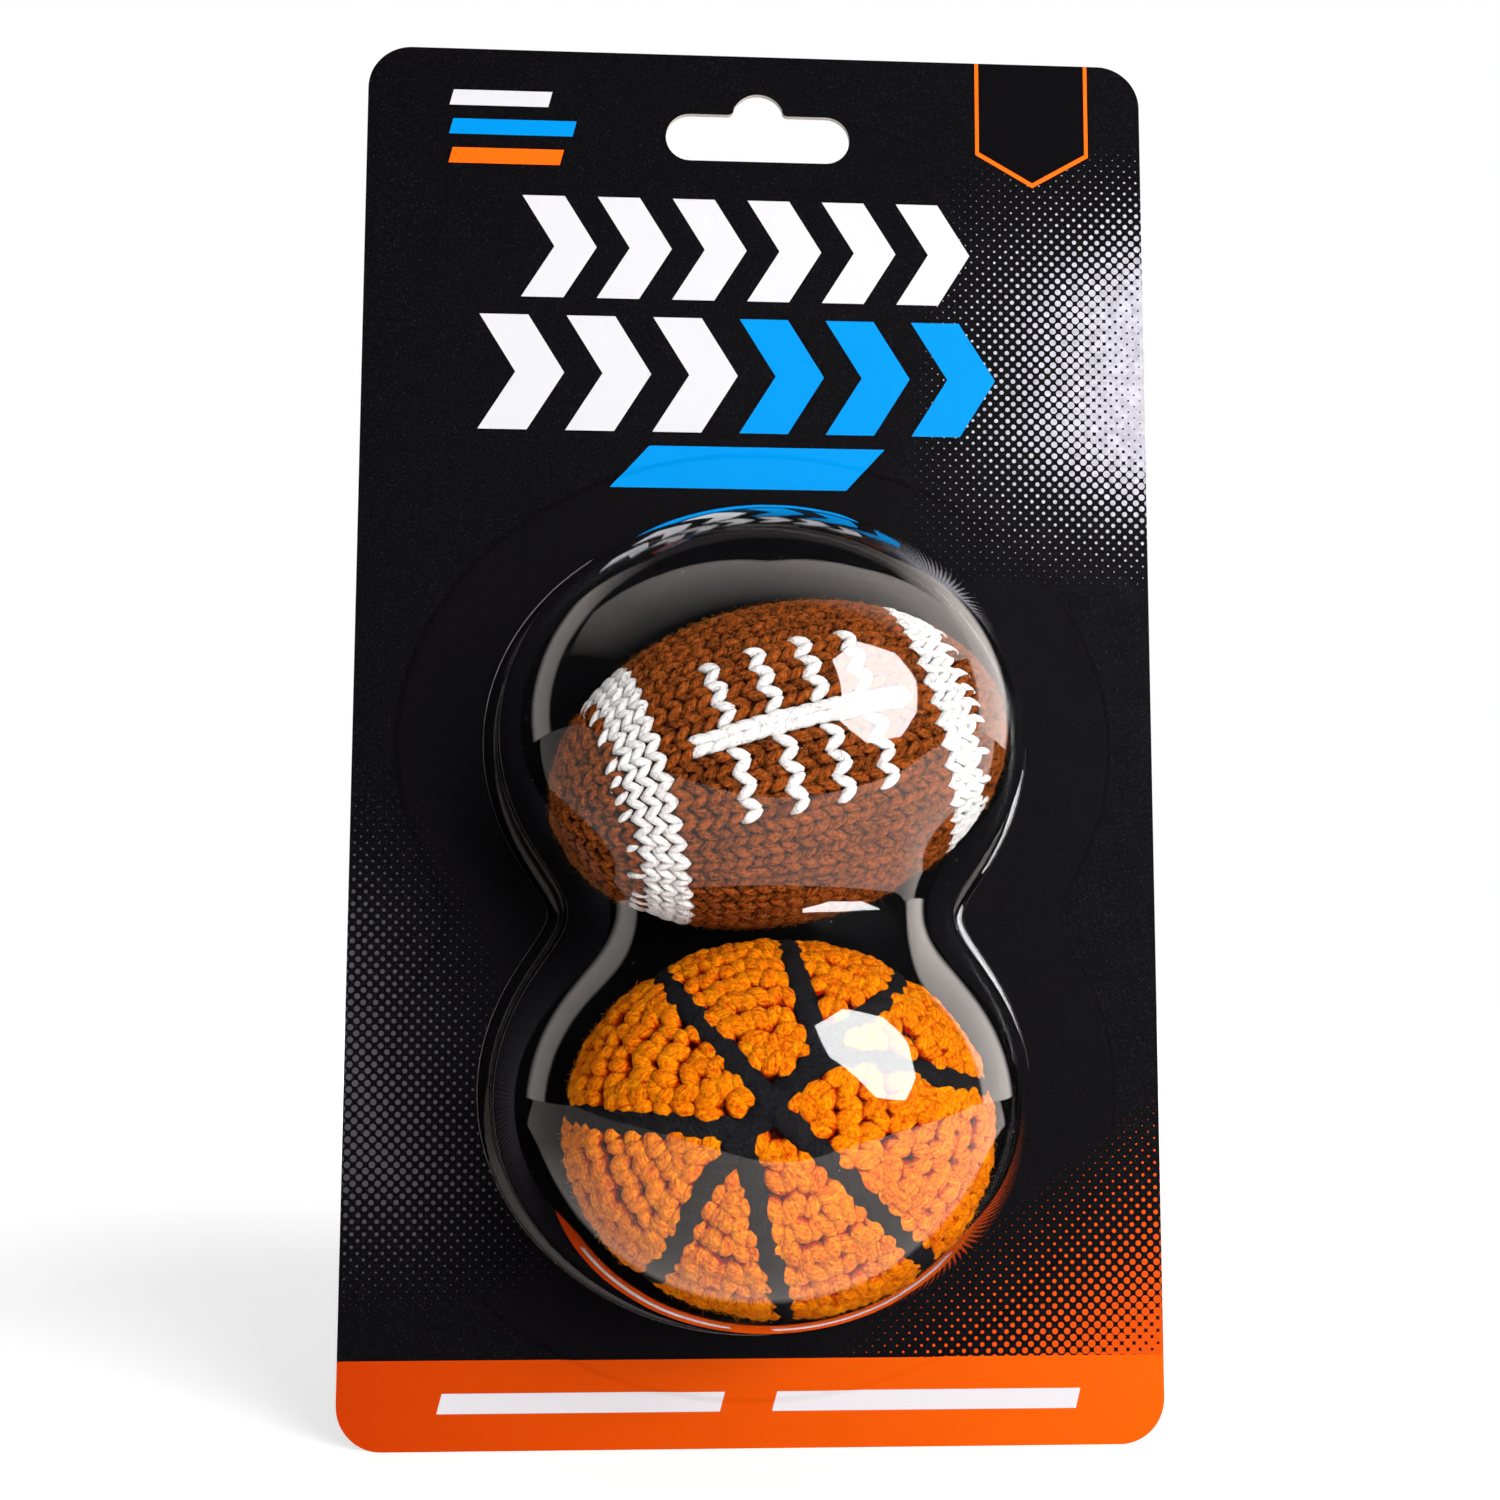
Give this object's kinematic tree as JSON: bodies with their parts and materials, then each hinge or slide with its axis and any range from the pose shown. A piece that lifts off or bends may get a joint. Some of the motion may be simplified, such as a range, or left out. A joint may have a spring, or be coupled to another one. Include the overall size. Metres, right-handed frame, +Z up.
{
  "type": "footbag blister pack",
  "caption": "Hanging carded pack of a ball-shaped and a football-shaped crocheted footbag under a clear double bubble trapped between two cards.",
  "frame": {"origin": "where the display peg bears, at the top of the hang slot's hump, on the plane where the two cards meet", "axes": "+X to the right of someone facing the pack, +Y back into the display, +Z up"},
  "size_m": [0.127, 0.0566, 0.2222],
  "materials": {
    "front_card": "satin",
    "back_card": "matte",
    "clear_sheet": "gloss",
    "orange_yarn": "matte",
    "brown_yarn": "matte",
    "white_yarn": "matte",
    "black_yarn": "matte",
    "lining": "matte",
    "pellets": "matte"
  },
  "bodies": {
    "pack": {"back_card": "back_card", "front_card": "front_card", "blister": "clear_sheet"},
    "football": {"football_nose_left": "brown_yarn", "football_band_left": "white_yarn", "football_middle": "brown_yarn", "football_band_right": "white_yarn", "football_nose_right": "brown_yarn", "football_knot_left": "brown_yarn", "football_knot_right": "brown_yarn", "football_liner": "lining", "football_filling": "pellets", "lace_bar": "white_yarn", "lace_upper_1": "white_yarn", "lace_upper_2": "white_yarn", "lace_upper_3": "white_yarn", "lace_upper_4": "white_yarn", "lace_lower_1": "white_yarn", "lace_lower_2": "white_yarn", "lace_lower_3": "white_yarn", "lace_lower_4": "white_yarn"},
    "basketball": {"basketball_cover": "orange_yarn", "basketball_knot": "orange_yarn", "basketball_liner": "lining", "basketball_filling": "pellets", "seam_line_1": "black_yarn", "seam_line_2": "black_yarn", "seam_line_3": "black_yarn", "seam_line_4": "black_yarn", "seam_line_5": "black_yarn", "seam_line_6": "black_yarn", "seam_line_7": "black_yarn", "seam_line_8": "black_yarn", "seam_front_crossing": "black_yarn", "seam_back_crossing": "black_yarn"}
  },
  "joints": [
    {"name": "football_roll", "type": "hinge", "parent": "pack", "child": "football", "pos_m": [0.0021, -0.02454, -0.11323], "axis": [0.9597, 0.1045, 0.2608], "continuous": true},
    {"name": "basketball_roll", "type": "hinge", "parent": "pack", "child": "basketball", "pos_m": [0.0016, -0.0274, -0.16537], "axis": [1, 0, 0], "continuous": true}
  ]
}
